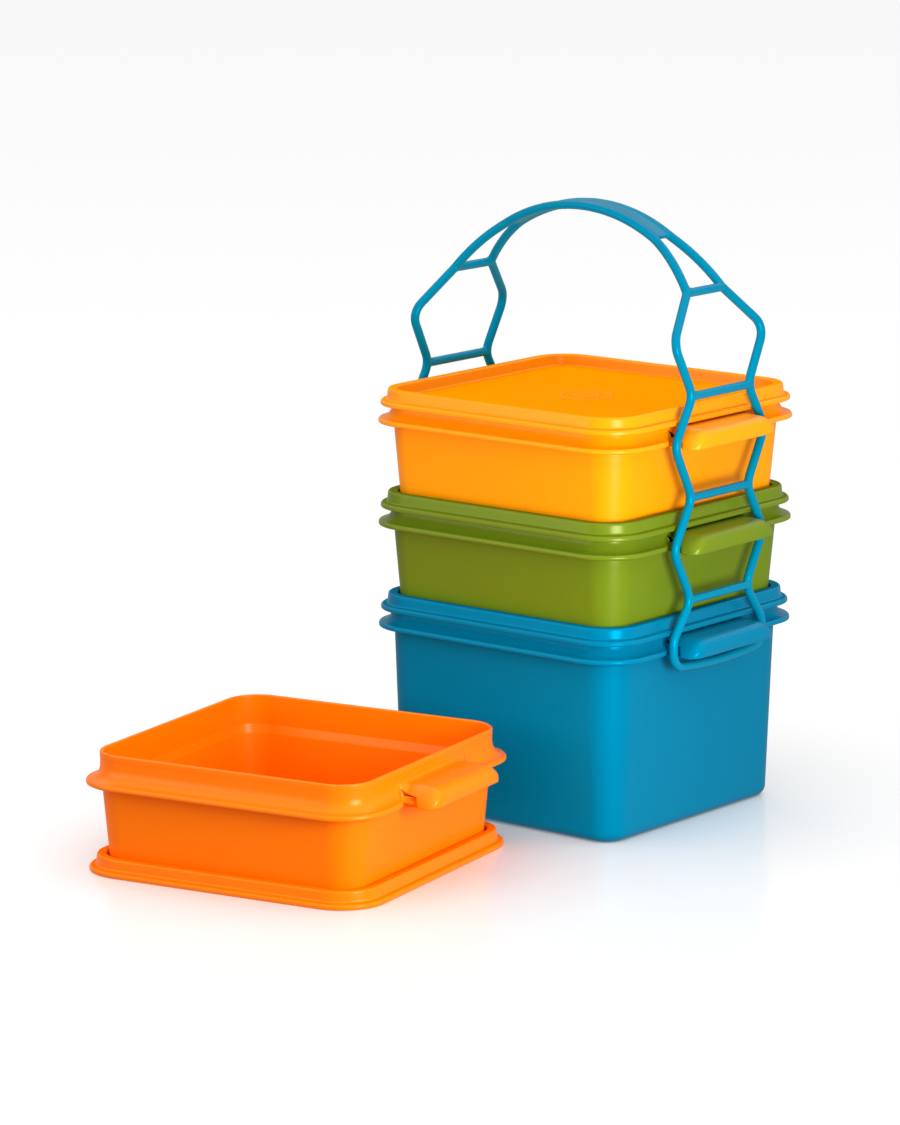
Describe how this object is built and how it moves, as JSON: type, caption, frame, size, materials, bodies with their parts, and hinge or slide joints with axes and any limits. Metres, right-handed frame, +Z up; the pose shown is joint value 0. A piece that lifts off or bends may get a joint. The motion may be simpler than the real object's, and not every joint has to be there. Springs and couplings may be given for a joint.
{
  "type": "tiffin carrier",
  "caption": "Square lidded lunch boxes stacked in a flexible ladder-sided carry strap with an arched handle, and one more open box standing in its own lid.",
  "frame": {"origin": "centre of the stack's base, on the surface it stands on", "axes": "+Z up the stack, +X towards one of the two carrying ledges and the strap's ladder, -Y towards the plain front, where the fourth box stands"},
  "size_m": [0.2021, 0.3069, 0.2688],
  "materials": {
    "blue_plastic": "satin",
    "green_plastic": "satin",
    "yellow_plastic": "satin",
    "orange_plastic": "satin",
    "handle_plastic": "satin"
  },
  "bodies": {
    "stack": {"blue_box": "blue_plastic", "blue_lid": "blue_plastic", "green_box": "green_plastic", "green_lid": "green_plastic", "yellow_box": "yellow_plastic"},
    "top_lid": {"yellow_lid": "yellow_plastic"},
    "handle_left": {"handle_left": "handle_plastic"},
    "handle_right": {"handle_right": "handle_plastic"},
    "side_lid": {"orange_lid": "orange_plastic"},
    "side_box": {"orange_box": "orange_plastic"}
  },
  "joints": [
    {"name": "handle_spread", "type": "hinge", "parent": "stack", "child": "handle_left", "pos_m": [-0.076, 0, 0.26885], "axis": [0, 1, 0], "range_deg": [0, 10], "stiffness_Nm_per_rad": 2, "springref_deg": -1.15},
    {"name": "handle_flex", "type": "hinge", "parent": "handle_left", "child": "handle_right", "pos_m": [0, 0, 0.26885], "axis": [0, -1, 0], "range_deg": [0, 20]},
    {"name": "yellow_lid_lift", "type": "slide", "parent": "stack", "child": "top_lid", "axis": [0, 0, 1], "range_m": [0, 0.02]},
    {"name": "orange_lid_lift", "type": "slide", "parent": "stack", "child": "side_lid", "axis": [0, 0, 1], "range_m": [0, 0.08]},
    {"name": "orange_box_lift", "type": "slide", "parent": "side_lid", "child": "side_box", "axis": [0, 0, 1], "range_m": [0, 0.08]}
  ],
  "couplings": [
    {"joint": "handle_flex", "follows": "handle_spread", "ratio": 2}
  ]
}
